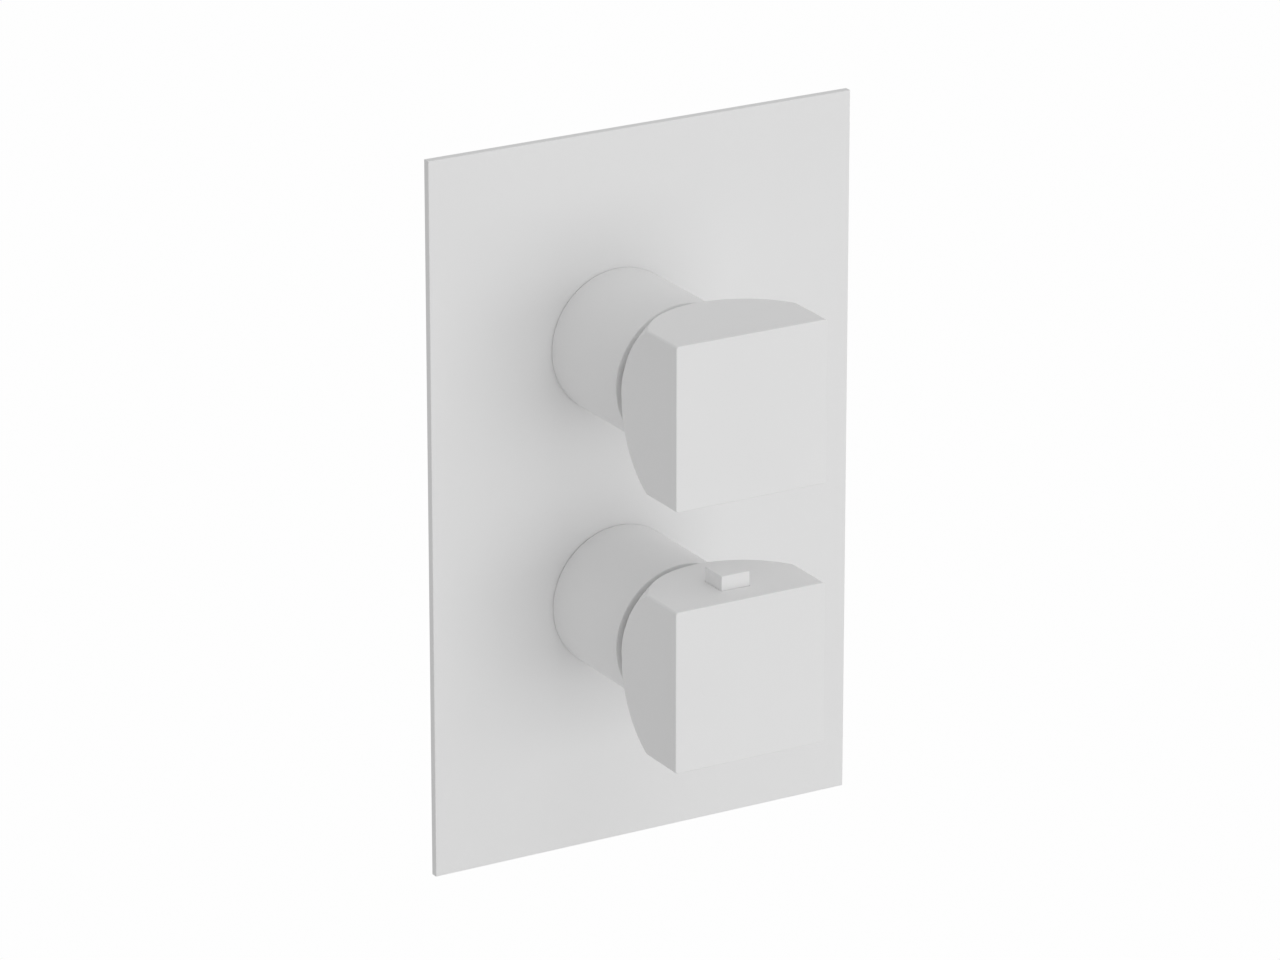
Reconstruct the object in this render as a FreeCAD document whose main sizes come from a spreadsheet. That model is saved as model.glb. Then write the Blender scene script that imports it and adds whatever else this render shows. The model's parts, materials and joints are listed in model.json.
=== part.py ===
"""Trim of a concealed thermostatic shower valve.

A flat cover plate carries two round collars. In front of each collar turns a square handle with a
domed back: the upper one opens the flow, the lower one sets the temperature and has a push button
on its top face that releases the safety stop.

Frame: origin at the centre of the plate's back face, X to the right, Y into the wall, Z up.
Pieces round a handle's axis are drawn standing on the wall plane, with their own z as the distance
from the wall, and then laid over. Pieces across the axis are drawn with their own z as the height
above the axis.
"""
import FreeCAD, Part
import os
import re
import Sketcher

SIZES = [
    ("plate_width", 140.0, "cover plate, side to side"),
    ("plate_height", 220.0, "cover plate, top to bottom"),
    ("plate_thickness", 2.4, "cover plate, wall to front face"),
    ("plate_edge", 0.25, "rounding of the plate's front edges"),
    ("gasket_inset", 7.0, "plate edge to gasket channel"),
    ("gasket_width", 8.0, "width of the gasket channel"),
    ("gasket_depth", 1.2, "depth of the gasket channel"),
    ("gasket_room", 0.1, "room all round the gasket in its channel"),
    ("axis_shift", 8.4, "handle axes, left of the plate's centre line"),
    ("axis_rise", 6.55, "middle of the two axes above the plate's centre"),
    ("axis_spacing", 79.3, "upper axis to lower axis"),
    ("collar_radius", 22.0, "outside of a collar"),
    ("collar_length", 37.3, "plate front to collar front"),
    ("collar_setback", 0.5, "wall plane to the back end of a collar"),
    ("collar_edge", 0.15, "rounding of a collar's outer edge at the plate"),
    ("collar_shoulder", 0.3, "rounding of a collar's outer edge at the handle"),
    ("lip_width", 0.5, "lip of a collar round its washer"),
    ("lip_gap", 0.2, "plate front to that lip"),
    ("neck_wall", 3.8, "collar outside to the core of the M38 x 1.5 neck thread"),
    ("neck_length", 16.0, "length of the neck thread"),
    ("relief_width", 2.0, "thread run-out at the end of the neck thread"),
    ("relief_depth", 0.9, "depth of the thread run-out"),
    ("foot_width", 1.7, "step of the collar that bears on the washer"),
    ("spigot_room", 0.4, "radial room of that spigot in the plate's hole"),
    ("washer_thickness", 0.6, "rubber washer between collar and plate"),
    ("washer_recess", 0.8, "how far the washer stays inside the collar's outside"),
    ("mouth_wall", 2.8, "wall of the collar round the guide bush"),
    ("bush_wall", 3.7, "guide bush, seat to journal"),
    ("bush_length", 9.8, "length of the guide bush"),
    ("bush_recess", 0.2, "collar front to bush front"),
    ("running_gap", 0.05, "radial clearance of the journal in the bush"),
    ("seat_gap", 0.02, "clearance of pieces that are seated in each other"),
    ("thrust_gap", 0.05, "axial play on each side of the slip washer"),
    ("slip_thickness", 0.9, "slip washer between the bush and the hub's flange"),
    ("ring_thickness", 1.0, "retaining ring behind the bush"),
    ("ring_depth", 0.9, "depth of the retaining ring's groove"),
    ("ring_reach", 1.1, "how far the retaining ring stands out of the journal"),
    ("ring_room", 0.4, "retaining ring to the inside of the collar"),
    ("ring_slot", 6.0, "opening of the retaining ring"),
    ("hub_tail", 1.6, "hub behind the retaining ring"),
    ("flange_step", 4.2, "collar outside to the outside of the hub's flange"),
    ("flange_sink", 4.2, "how deep the hub's flange sits in the handle"),
    ("hub_step", 2.5, "journal to the part of the hub that sits in the handle"),
    ("hub_web", 4.0, "web between adaptor and screw head"),
    ("web_rise", 1.7, "flange front to web front"),
    ("head_room", 1.0, "room round the adaptor screw's head"),
    ("screw_room", 0.2, "room round the adaptor screw in the web"),
    ("hexagon_share", 0.9, "adaptor's hexagon across flats, as a share of the journal's radius"),
    ("adaptor_radius", 7.8, "round barrel of the spindle adaptor"),
    ("adaptor_web", 2.4, "adaptor between its socket and its tapped hole"),
    ("socket_radius", 3.75, "spindle socket inside its serrations"),
    ("socket_depth", 14.0, "depth of the spindle socket"),
    ("serration_depth", 0.3, "depth of a serration"),
    ("serration_width", 0.2, "width of a serration at the socket wall"),
    ("serration_count", 20, "serrations round the spindle socket"),
    ("adaptor_screw_radius", 2.0, "M4 adaptor screw"),
    ("adaptor_screw_length", 10.5, "adaptor screw under its head"),
    ("adaptor_head_radius", 3.5, "head of the adaptor screw"),
    ("adaptor_head_height", 2.6, "height of that head"),
    ("adaptor_key", 2.5, "hexagon key of the adaptor screw, across flats"),
    ("adaptor_key_depth", 1.6, "depth of that hexagon"),
    ("tip_room", 1.05, "adaptor screw's tip to the end of its tapped hole"),
    ("handle_gap", 2.7, "collar front to handle back"),
    ("handle_side", 49.2, "side of the square handle"),
    ("handle_depth", 36.1, "handle back to handle front"),
    ("handle_edge", 0.3, "rounding of the handle's edges round its front and its dome"),
    ("corner_edge", 0.8, "rounding of the handle's four long edges"),
    ("dome_margin", 2.25, "dome radius beyond the handle's corners"),
    ("boss_inset", 2.9, "side of the handle to the round boss on its back"),
    ("boss_height", 2.9, "length of that boss"),
    ("handle_wall", 7.0, "front wall of the handle"),
    ("grub_radius", 2.5, "M5 grub screw"),
    ("grub_length", 8.0, "length of the grub screw"),
    ("grub_bite", 1.5, "how deep the grub screw sits in the hub"),
    ("grub_key", 2.5, "hexagon key of the grub screw, across flats"),
    ("grub_key_depth", 3.0, "depth of that hexagon"),
    ("grub_cone", 1.2, "length of the grub screw's cone point"),
    ("plug_gap", 0.3, "grub screw to the plug that closes its hole"),
    ("button_width", 9.3, "push button, side to side"),
    ("button_depth", 9.4, "push button, front to back"),
    ("button_proud", 4.45, "push button above the handle's top face"),
    ("button_setback", 13.2, "handle front to the button's middle"),
    ("well_wall", 1.6, "floor of the button's well, above the hub's bore"),
    ("button_edge", 0.25, "rounding of the button's edges"),
    ("button_room", 0.15, "room round the button in its well"),
    ("button_travel", 3.0, "stroke of the button"),
    ("button_spare", 0.4, "cap to floor of the well at full stroke"),
    ("recess_radius", 3.5, "spring recess in the button"),
    ("recess_depth", 5.0, "depth of the spring recess"),
    ("stem_radius", 1.6, "stem of the button"),
    ("stem_gap", 0.1, "radial clearance of the stem in the handle"),
    ("stem_tail", 1.2, "stem below the clip"),
    ("clip_radius", 3.0, "outside of the button's clip"),
    ("clip_thickness", 0.6, "thickness of the clip"),
    ("clip_groove", 0.4, "depth of the clip's groove in the stem"),
    ("clip_slot", 2.0, "opening of the clip"),
    ("clip_play", 0.1, "clip to the inside of the handle at rest"),
    ("clip_room", 3.15, "clip to the front of the hub"),
    ("spring_side", 0.45, "button spring to the side of its recess"),
    ("wire_radius", 0.3, "wire of the button spring"),
    ("spring_turns", 6, "turns of the button spring"),
    ("spring_room", 0.05, "play at each end of the spring"),
]

# Radii, as expressions in the words of the sheet.
neck_radius = "(collar_radius - neck_wall)"
spigot_radius = "(collar_radius - foot_width)"
plate_hole = f"({spigot_radius} + spigot_room)"
lip_radius = "(collar_radius - lip_width)"
bush_radius = "(collar_radius - mouth_wall)"
journal_radius = f"({bush_radius} - bush_wall)"
bearing_radius = f"({journal_radius} + running_gap)"
ring_radius = f"({journal_radius} + ring_reach)"
collar_bore = f"({ring_radius} + ring_room)"
flange_radius = "(collar_radius - flange_step)"
hub_radius = f"({journal_radius} - hub_step)"
adaptor_flats = f"(hexagon_share * {journal_radius})"
hub_bore = f"({hub_radius} + seat_gap)"
grub_hole = "(grub_radius + seat_gap)"
half_side = "(handle_side / 2)"
boss_radius = f"({half_side} - boss_inset)"
dome_radius = "(handle_side / sqrt(2) + dome_margin)"

# Distances from the wall.
lip_foot = "(plate_thickness + lip_gap)"
collar_foot = "(plate_thickness + washer_thickness)"
collar_front = "(plate_thickness + collar_length)"
neck_end = "(collar_setback + neck_length)"
bush_front = f"({collar_front} - bush_recess)"
bush_back = f"({bush_front} - bush_length)"
ring_front = f"({bush_back} - thrust_gap)"
ring_back = f"({ring_front} - ring_thickness)"
hub_back = f"({ring_back} - hub_tail)"
handle_back = f"({collar_front} + handle_gap)"
handle_front = f"({handle_back} + handle_depth)"
bore_end = f"({handle_front} - handle_wall)"
dome_foot = f"({handle_back} + boss_height)"
dome_centre = f"({dome_foot} + sqrt({dome_radius}^2 - {boss_radius}^2))"
button_axis = f"({handle_front} - button_setback)"
flange_back = f"({bush_front} + slip_thickness + 2 * thrust_gap)"
flange_front = f"({handle_back} + flange_sink)"
hub_front = f"({button_axis} - clip_radius - clip_room)"
grub_axis = f"(({flange_front} + {hub_front}) / 2)"
web_front = f"({flange_front} + web_rise)"
web_back = f"({web_front} - hub_web)"
screw_tip = f"({web_front} - adaptor_screw_length)"
screw_top = f"({web_front} + adaptor_head_height)"
adaptor_front = f"({web_back} - seat_gap)"
tapped_end = f"({screw_tip} - tip_room)"
socket_end = f"({tapped_end} - adaptor_web)"
adaptor_back = f"({socket_end} - socket_depth)"

# Heights above a handle's axis.
grub_tip = f"({hub_radius} - grub_bite)"
grub_foot = f"({grub_tip} + grub_length)"
plug_length = f"({half_side} - {grub_foot} - plug_gap)"
well_floor = f"({hub_bore} + well_wall)"
button_foot = f"({well_floor} + button_spare + button_travel)"
button_top = f"({half_side} + button_proud)"
recess_top = f"({button_foot} + recess_depth)"
clip_top = f"(sqrt({hub_bore}^2 - clip_radius^2) - clip_play)"
clip_foot = f"({clip_top} - clip_thickness)"
stem_foot = f"({clip_foot} - stem_tail)"

# Places of the two axes on the plate.
AXIS_X = "(-axis_shift)"
AXIS_Z = {
    "flow": "(axis_rise + axis_spacing / 2)",
    "temperature": "(axis_rise - axis_spacing / 2)",
}
KNOWN = {alias for alias, _, _ in SIZES}

# Lengths closer than this count as equal (mm), and a cut takes away at least this much (mm3).
SAME_LENGTH = 1e-4
LEAST_CUT = 1e-6
FULL_TURN = 360
QUARTER_TURN = 90

doc = FreeCAD.newDocument("thermostatic_valve_trim")
sheet = doc.addObject("Spreadsheet::Sheet", "Sizes")
subparts = []


def fill_sheet():
    """Write every driving size into its own cell, with its name as the alias."""
    for row, (alias, number, meaning) in enumerate(SIZES, start=1):
        sheet.set(f"A{row}", meaning)
        sheet.set(f"B{row}", str(number))
        sheet.setAlias(f"B{row}", alias)
    doc.recompute()


def bind(words):
    """Give the sheet's name to every size in an expression."""
    return re.sub(r"[a-z_]+", lambda word: f"Sizes.{word[0]}" if word[0] in KNOWN else word[0], words)


def value(words):
    """Work out an expression as a plain number."""
    return float(sheet.evalExpression(bind(words)))


# Sketch helpers


def new_body(name):
    """Start a sub-part whose label is also the name of its file."""
    body = doc.addObject("PartDesign::Body", name)
    body.Label = name
    subparts.append(body)
    return body


def new_sketch(body, plane="XY_Plane", lift="0"):
    """Open a sketch on one of the body's own planes, lifted along the plane's normal."""
    support = next(item for item in body.Origin.OriginFeatures if item.Role == plane)
    sketch = body.newObject("Sketcher::SketchObject", f"{body.Name}_sketch")
    sketch.AttachmentSupport = [(support, "")]
    sketch.MapMode = "FlatFace"
    if lift != "0":
        sketch.setExpression("AttachmentOffset.Base.z", bind(lift))
    return sketch


def tie(sketch, kind, where, words):
    """Add a dimension to a sketch and bind it to an expression."""
    number = sketch.addConstraint(Sketcher.Constraint(kind, *where, value(words)))
    sketch.setExpression(f"Constraints[{number}]", bind(words))


def fix_point(sketch, geometry, end, across, along):
    """Hold a point at two expressions, or on an axis of the sketch where one of them is 0."""
    for kind, axis, words in (("DistanceX", -2, across), ("DistanceY", -1, along)):
        if words == "0":
            sketch.addConstraint(Sketcher.Constraint("PointOnObject", geometry, end, axis))
        else:
            tie(sketch, kind, (-1, 1, geometry, end), words)


def draw_outline(sketch, corners):
    """Draw a closed outline of straight lines through corners given as pairs of expressions."""
    points = [FreeCAD.Vector(value(across), value(along), 0) for across, along in corners]
    lines = []
    for start, end in zip(points, points[1:] + points[:1]):
        lines.append(sketch.addGeometry(Part.LineSegment(start, end)))
    for before, after in zip(lines, lines[1:] + lines[:1]):
        sketch.addConstraint(Sketcher.Constraint("Coincident", before, 2, after, 1))
    for line, (across, along) in zip(lines, corners):
        fix_point(sketch, line, 1, across, along)


def draw_circle(sketch, radius, across="0", along="0"):
    """Draw a circle from expressions for its radius and centre."""
    centre = FreeCAD.Vector(value(across), value(along), 0)
    circle = sketch.addGeometry(Part.Circle(centre, FreeCAD.Vector(0, 0, 1), value(radius)))
    fix_point(sketch, circle, 3, across, along)
    tie(sketch, "Radius", (circle,), radius)


def draw_rectangle(sketch, half_width, half_height, across="0", along="0"):
    """Draw a rectangle from its half sizes about a centre."""
    left = f"({across} - {half_width})"
    right = f"({across} + {half_width})"
    low = f"({along} - {half_height})"
    high = f"({along} + {half_height})"
    draw_outline(sketch, [(left, low), (right, low), (right, high), (left, high)])


def draw_hexagon(sketch, flats):
    """Draw a hexagon about the sketch's origin from its size across flats."""
    side = f"({flats} / 2)"
    low = f"({flats} / 2 / sqrt(3))"
    tip = f"({flats} / sqrt(3))"
    draw_outline(sketch, [
        (side, f"(-{low})"), (side, low), ("0", tip),
        (f"(-{side})", low), (f"(-{side})", f"(-{low})"), ("0", f"(-{tip})"),
    ])


# Feature helpers


def add_feature(body, kind, sketch, **settings):
    """Add a PartDesign feature made from a sketch."""
    feature = body.newObject(f"PartDesign::{kind}", f"{body.Name}_{kind.lower()}")
    feature.Profile = sketch
    for key, setting in settings.items():
        setattr(feature, key, setting)
    return feature


def pad(body, sketch, length):
    """Raise a sketch along its normal."""
    feature = add_feature(body, "Pad", sketch)
    feature.setExpression("Length", bind(length))
    doc.recompute()


def check_cut(body, before):
    """Stop where a cut has taken nothing away."""
    if body.Shape.Volume > before - LEAST_CUT:
        raise RuntimeError(f"a cut in {body.Label} removes nothing")


def pocket(body, sketch, depth, along_normal=False):
    """Cut a sketch into the body, against the sketch's normal unless told otherwise."""
    before = body.Shape.Volume
    feature = add_feature(body, "Pocket", sketch, Reversed=along_normal)
    feature.setExpression("Length", bind(depth))
    doc.recompute()
    check_cut(body, before)
    return feature


def turn(body, corners):
    """Turn an outline of radii and heights about the body's own z axis."""
    sketch = new_sketch(body, "XZ_Plane")
    draw_outline(sketch, corners)
    add_feature(body, "Revolution", sketch, ReferenceAxis=(sketch, ["V_Axis"]), Angle=FULL_TURN)
    doc.recompute()


def turn_out(body, sketch):
    """Turn a sketch about the body's own z axis and take it away."""
    before = body.Shape.Volume
    add_feature(body, "Groove", sketch, ReferenceAxis=(sketch, ["V_Axis"]), Angle=FULL_TURN)
    doc.recompute()
    check_cut(body, before)


def round_edges(body, radius, wanted):
    """Round the edges of the body that a test picks out."""
    base = body.Tip
    names = [f"Edge{number}" for number, edge in enumerate(base.Shape.Edges, start=1) if wanted(edge)]
    feature = body.newObject("PartDesign::Fillet", f"{body.Name}_fillet")
    feature.Base = (base, names)
    feature.setExpression("Radius", bind(radius))
    doc.recompute()


def near(first, second):
    """Say whether two lengths are the same."""
    return abs(first - second) < SAME_LENGTH


def at_height(edge, height):
    """Say whether a whole edge lies at one height of its body."""
    box = edge.BoundBox
    return near(box.ZMin, height) and near(box.ZMax, height)


def is_upright(edge):
    """Say whether an edge runs straight along the body's z axis."""
    box = edge.BoundBox
    return near(box.XLength, 0) and near(box.YLength, 0)


def is_rim(edge, radius):
    """Say whether an edge is a full circle of this radius across the body's z axis."""
    box = edge.BoundBox
    return near(box.ZMin, box.ZMax) and near(box.XLength, 2 * radius)


# Placing helpers


def place_on_wall(body, axis=None):
    """Lay a body over so that its own z points out of the wall, on an axis or at the origin."""
    body.Placement.Rotation = FreeCAD.Rotation(FreeCAD.Vector(1, 0, 0), QUARTER_TURN)
    if axis:
        body.setExpression("Placement.Base.x", bind(AXIS_X))
        body.setExpression("Placement.Base.z", bind(AXIS_Z[axis]))


def place_across(body, axis, station):
    """Stand a body on an axis at a distance from the wall, with its own z upwards."""
    body.setExpression("Placement.Base.x", bind(AXIS_X))
    body.setExpression("Placement.Base.y", bind(f"(-{station})"))
    body.setExpression("Placement.Base.z", bind(AXIS_Z[axis]))


def make_ring(name, inner, outer, low, thickness, slot=None):
    """Make a flat ring, split on its right side where a slot is given."""
    body = new_body(name)
    sketch = new_sketch(body, lift=low)
    draw_circle(sketch, outer)
    draw_circle(sketch, inner)
    pad(body, sketch, thickness)
    if slot:
        sketch = new_sketch(body, lift=low)
        draw_rectangle(sketch, f"({outer} / 2)", f"({slot} / 2)", across=f"({outer} / 2)")
        pocket(body, sketch, thickness, along_normal=True)
    return body


# Fixed pieces


def make_cover_plate():
    """Flat plate with a hole for each collar and a channel for the gasket in its back."""
    body = new_body("cover_plate")
    sketch = new_sketch(body)
    draw_rectangle(sketch, "(plate_width / 2)", "(plate_height / 2)")
    pad(body, sketch, "plate_thickness")
    front = value("plate_thickness")
    round_edges(body, "plate_edge", lambda edge: at_height(edge, front))
    sketch = new_sketch(body)
    for inset in ("gasket_inset", "(gasket_inset + gasket_width)"):
        draw_rectangle(sketch, f"(plate_width / 2 - {inset})", f"(plate_height / 2 - {inset})")
    pocket(body, sketch, "gasket_depth", along_normal=True)
    sketch = new_sketch(body)
    for axis in AXIS_Z:
        draw_circle(sketch, plate_hole, AXIS_X, AXIS_Z[axis])
    pocket(body, sketch, "plate_thickness", along_normal=True)
    place_on_wall(body)


def make_plate_gasket():
    """Rubber strip that fills the channel and seals against the wall."""
    body = new_body("plate_gasket")
    sketch = new_sketch(body, lift="gasket_room")
    for inset in ("(gasket_inset + gasket_room)", "(gasket_inset + gasket_width - gasket_room)"):
        draw_rectangle(sketch, f"(plate_width / 2 - {inset})", f"(plate_height / 2 - {inset})")
    pad(body, sketch, "(gasket_depth - gasket_room)")
    place_on_wall(body)


def make_collar(axis):
    """Sleeve that screws on the valve's neck, clamps the plate and holds the bush in its mouth."""
    body = new_body(f"{axis}_collar")
    relief_radius = f"({neck_radius} + relief_depth)"
    relief_end = f"({neck_end} + relief_width)"
    turn(body, [
        (neck_radius, "collar_setback"), (spigot_radius, "collar_setback"),
        (spigot_radius, collar_foot), (lip_radius, collar_foot),
        (lip_radius, lip_foot), ("collar_radius", lip_foot),
        ("collar_radius", collar_front), (bush_radius, collar_front),
        (bush_radius, bush_back), (collar_bore, bush_back),
        (collar_bore, relief_end), (relief_radius, relief_end),
        (relief_radius, neck_end), (neck_radius, neck_end),
    ])
    outside = value("collar_radius")
    foot = value(lip_foot)
    front = value(collar_front)
    round_edges(body, "collar_edge", lambda edge: is_rim(edge, outside) and at_height(edge, foot))
    round_edges(body, "collar_shoulder", lambda edge: is_rim(edge, outside) and at_height(edge, front))
    place_on_wall(body, axis)


def make_collar_washer(axis):
    """Rubber washer between the collar's foot and the plate."""
    inner = f"({spigot_radius} + seat_gap)"
    outer = "(collar_radius - washer_recess)"
    body = make_ring(f"{axis}_collar_washer", inner, outer, "plate_thickness", "washer_thickness")
    place_on_wall(body, axis)


def make_guide_bush(axis):
    """Plain bearing in the mouth of the collar."""
    outer = f"({bush_radius} - seat_gap)"
    body = make_ring(f"{axis}_guide_bush", bearing_radius, outer, bush_back, "bush_length")
    place_on_wall(body, axis)


def make_slip_washer(axis):
    """Thrust washer between the bush and the hub's flange."""
    low = f"({bush_front} + thrust_gap)"
    name = f"{axis}_slip_washer"
    body = make_ring(name, bearing_radius, flange_radius, low, "slip_thickness")
    place_on_wall(body, axis)


# Pieces that turn with a handle


def make_hub(axis):
    """Hub with a journal for the bush, a flange and a seat for the handle."""
    body = new_body(f"{axis}_hub")
    screw_hole = "(adaptor_screw_radius + screw_room)"
    head_bore = "(adaptor_head_radius + head_room)"
    groove_floor = f"({journal_radius} - ring_depth)"
    groove_back = f"({ring_back} - seat_gap)"
    groove_front = f"({ring_front} + seat_gap)"
    turn(body, [
        (screw_hole, hub_back), (journal_radius, hub_back),
        (journal_radius, groove_back), (groove_floor, groove_back),
        (groove_floor, groove_front), (journal_radius, groove_front),
        (journal_radius, flange_back), (flange_radius, flange_back),
        (flange_radius, flange_front), (hub_radius, flange_front),
        (hub_radius, hub_front), (head_bore, hub_front),
        (head_bore, web_front), (screw_hole, web_front),
    ])
    sketch = new_sketch(body, lift=hub_back)
    draw_hexagon(sketch, f"({adaptor_flats} + 2 * seat_gap)")
    pocket(body, sketch, f"({web_back} - {hub_back})", along_normal=True)
    sketch = new_sketch(body, "XZ_Plane", lift=hub_radius)
    draw_circle(sketch, grub_hole, along=grub_axis)
    pocket(body, sketch, "(grub_bite + seat_gap)")
    place_on_wall(body, axis)


def make_retaining_ring(axis):
    """Split ring in the journal's groove that keeps the hub in the bush."""
    name = f"{axis}_retaining_ring"
    inner = f"({journal_radius} - ring_depth + seat_gap)"
    body = make_ring(name, inner, ring_radius, ring_back, "ring_thickness", "ring_slot")
    place_on_wall(body, axis)


def make_spindle_adaptor(axis):
    """Brass socket with serrations for the valve's spindle and a hexagon for the hub."""
    body = new_body(f"{axis}_spindle_adaptor")
    sketch = new_sketch(body, lift=adaptor_back)
    draw_circle(sketch, "adaptor_radius")
    pad(body, sketch, f"({hub_back} - {adaptor_back})")
    sketch = new_sketch(body, lift=hub_back)
    draw_hexagon(sketch, adaptor_flats)
    pad(body, sketch, f"({adaptor_front} - {hub_back})")
    sketch = new_sketch(body, lift=adaptor_front)
    draw_circle(sketch, "(adaptor_screw_radius + seat_gap)")
    pocket(body, sketch, f"({adaptor_front} - {tapped_end})")
    sketch = new_sketch(body, lift=adaptor_back)
    draw_circle(sketch, "socket_radius")
    pocket(body, sketch, "socket_depth", along_normal=True)
    cut_serrations(body)
    place_on_wall(body, axis)


def cut_serrations(body):
    """Cut one tooth space into the socket's wall and repeat it round the axis."""
    sketch = new_sketch(body, lift=adaptor_back)
    inside = "(socket_radius - serration_depth)"
    draw_outline(sketch, [
        (inside, "(-serration_width)"),
        ("(socket_radius + serration_depth)", "0"),
        (inside, "serration_width"),
    ])
    first = pocket(body, sketch, "socket_depth", along_normal=True)
    pattern = body.newObject("PartDesign::PolarPattern", f"{body.Name}_pattern")
    pattern.Originals = [first]
    spin = next(item for item in body.Origin.OriginFeatures if item.Role == "Z_Axis")
    pattern.Axis = (spin, [""])
    pattern.Angle = FULL_TURN
    pattern.setExpression("Occurrences", bind("serration_count"))
    body.Tip = pattern
    doc.recompute()


def make_adaptor_screw(axis):
    """Screw that clamps the hub on the adaptor, with a hexagon key in its head."""
    body = new_body(f"{axis}_adaptor_screw")
    turn(body, [
        ("0", screw_tip), ("adaptor_screw_radius", screw_tip),
        ("adaptor_screw_radius", web_front), ("adaptor_head_radius", web_front),
        ("adaptor_head_radius", screw_top), ("0", screw_top),
    ])
    sketch = new_sketch(body, lift=screw_top)
    draw_hexagon(sketch, "adaptor_key")
    pocket(body, sketch, "adaptor_key_depth")
    place_on_wall(body, axis)


def make_grub_screw(axis):
    """Grub screw that locks the handle on the hub from below."""
    body = new_body(f"{axis}_grub_screw")
    shoulder = f"({grub_tip} + grub_cone)"
    turn(body, [
        ("0", f"(-{grub_foot})"), ("grub_radius", f"(-{grub_foot})"),
        ("grub_radius", f"(-{shoulder})"), ("(grub_radius - grub_cone)", f"(-{grub_tip})"),
        ("0", f"(-{grub_tip})"),
    ])
    sketch = new_sketch(body, lift=f"(-{grub_foot})")
    draw_hexagon(sketch, "grub_key")
    pocket(body, sketch, "grub_key_depth", along_normal=True)
    place_across(body, axis, grub_axis)


def make_screw_plug(axis):
    """Plug that closes the grub screw's hole flush with the handle's lower face."""
    body = new_body(f"{axis}_screw_plug")
    sketch = new_sketch(body, lift=f"(-{half_side})")
    draw_circle(sketch, "grub_radius")
    pad(body, sketch, plug_length)
    place_across(body, axis, grub_axis)


def make_handle(axis):
    """Square handle with a domed back and a round boss, bored for the hub and its grub screw."""
    body = new_body(f"{axis}_handle")
    sketch = new_sketch(body, lift=handle_back)
    draw_rectangle(sketch, half_side, half_side)
    pad(body, sketch, "handle_depth")
    round_edges(body, "corner_edge", is_upright)
    turn_out(body, dome_sketch(body))
    boss = value(boss_radius)
    round_edges(body, "handle_edge", lambda edge: not is_rim(edge, boss) and not is_upright(edge))
    flange_bore = f"({flange_radius} + seat_gap)"
    flange_seat = f"({flange_front} + seat_gap)"
    sketch = new_sketch(body, "XZ_Plane")
    draw_outline(sketch, [
        ("0", handle_back), (flange_bore, handle_back),
        (flange_bore, flange_seat), (hub_bore, flange_seat),
        (hub_bore, bore_end), ("0", bore_end),
    ])
    turn_out(body, sketch)
    sketch = new_sketch(body, "XZ_Plane", lift=half_side)
    draw_circle(sketch, grub_hole, along=grub_axis)
    pocket(body, sketch, half_side)
    place_on_wall(body, axis)
    return body


def dome_sketch(body):
    """Draw what is turned off the square bar outside its dome and boss."""
    sketch = new_sketch(body, "XZ_Plane")
    radius = value(dome_radius)
    centre = FreeCAD.Vector(0, value(dome_centre), 0)
    foot = FreeCAD.Vector(value(boss_radius), value(dome_foot), 0)
    edge = FreeCAD.Vector(radius, centre.y, 0)
    outside = value("handle_side")
    back = value(handle_back)
    circle = Part.Circle(centre, FreeCAD.Vector(0, 0, 1), radius)
    arc = sketch.addGeometry(Part.ArcOfCircle(circle, circle.parameter(foot), circle.parameter(edge)))
    corners = [(outside, edge.y), (outside, back), (foot.x, back)]
    chain = [edge, *(FreeCAD.Vector(*corner, 0) for corner in corners), foot]
    lines = [sketch.addGeometry(Part.LineSegment(start, end)) for start, end in zip(chain, chain[1:])]
    for before, after in zip([arc] + lines, lines + [arc]):
        sketch.addConstraint(Sketcher.Constraint("Coincident", before, 2, after, 1))
    fix_point(sketch, arc, 3, "0", dome_centre)
    fix_point(sketch, arc, 1, boss_radius, dome_foot)
    tie(sketch, "DistanceY", (-1, 1, arc, 2), dome_centre)
    fix_point(sketch, lines[0], 2, "handle_side", dome_centre)
    fix_point(sketch, lines[1], 2, "handle_side", handle_back)
    fix_point(sketch, lines[2], 2, boss_radius, handle_back)
    return sketch


# Push button of the temperature handle


def cut_button_well(handle):
    """Sink the button's well into the handle's top face, with a hole for the stem in its floor."""
    sketch = new_sketch(handle, "XZ_Plane", lift=f"(-{half_side})")
    half_width = "(button_width / 2 + button_room)"
    half_depth = "(button_depth / 2 + button_room)"
    draw_rectangle(sketch, half_width, half_depth, along=button_axis)
    pocket(handle, sketch, f"({half_side} - {well_floor})", along_normal=True)
    sketch = new_sketch(handle, "XZ_Plane", lift=f"(-{half_side})")
    draw_circle(sketch, "(stem_radius + stem_gap)", along=button_axis)
    pocket(handle, sketch, half_side, along_normal=True)


def make_stop_button():
    """Rectangular cap with a spring recess and a stem that carries the clip."""
    body = new_body("stop_button")
    sketch = new_sketch(body, lift=button_foot)
    draw_rectangle(sketch, "(button_width / 2)", "(button_depth / 2)")
    pad(body, sketch, f"({button_top} - {button_foot})")
    foot = value(button_foot)
    round_edges(body, "button_edge", lambda edge: not at_height(edge, foot))
    sketch = new_sketch(body, lift=button_foot)
    draw_circle(sketch, "recess_radius")
    pocket(body, sketch, "recess_depth", along_normal=True)
    sketch = new_sketch(body, lift=stem_foot)
    draw_circle(sketch, "stem_radius")
    pad(body, sketch, f"({recess_top} - {stem_foot})")
    sketch = new_sketch(body, "XZ_Plane")
    groove_floor = "(stem_radius - clip_groove)"
    groove_top = f"({clip_top} + seat_gap)"
    groove_foot = f"({clip_foot} - seat_gap)"
    outside = "(stem_radius + clip_groove)"
    draw_outline(sketch, [
        (groove_floor, groove_foot), (outside, groove_foot),
        (outside, groove_top), (groove_floor, groove_top),
    ])
    turn_out(body, sketch)
    place_across(body, "temperature", button_axis)


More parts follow.
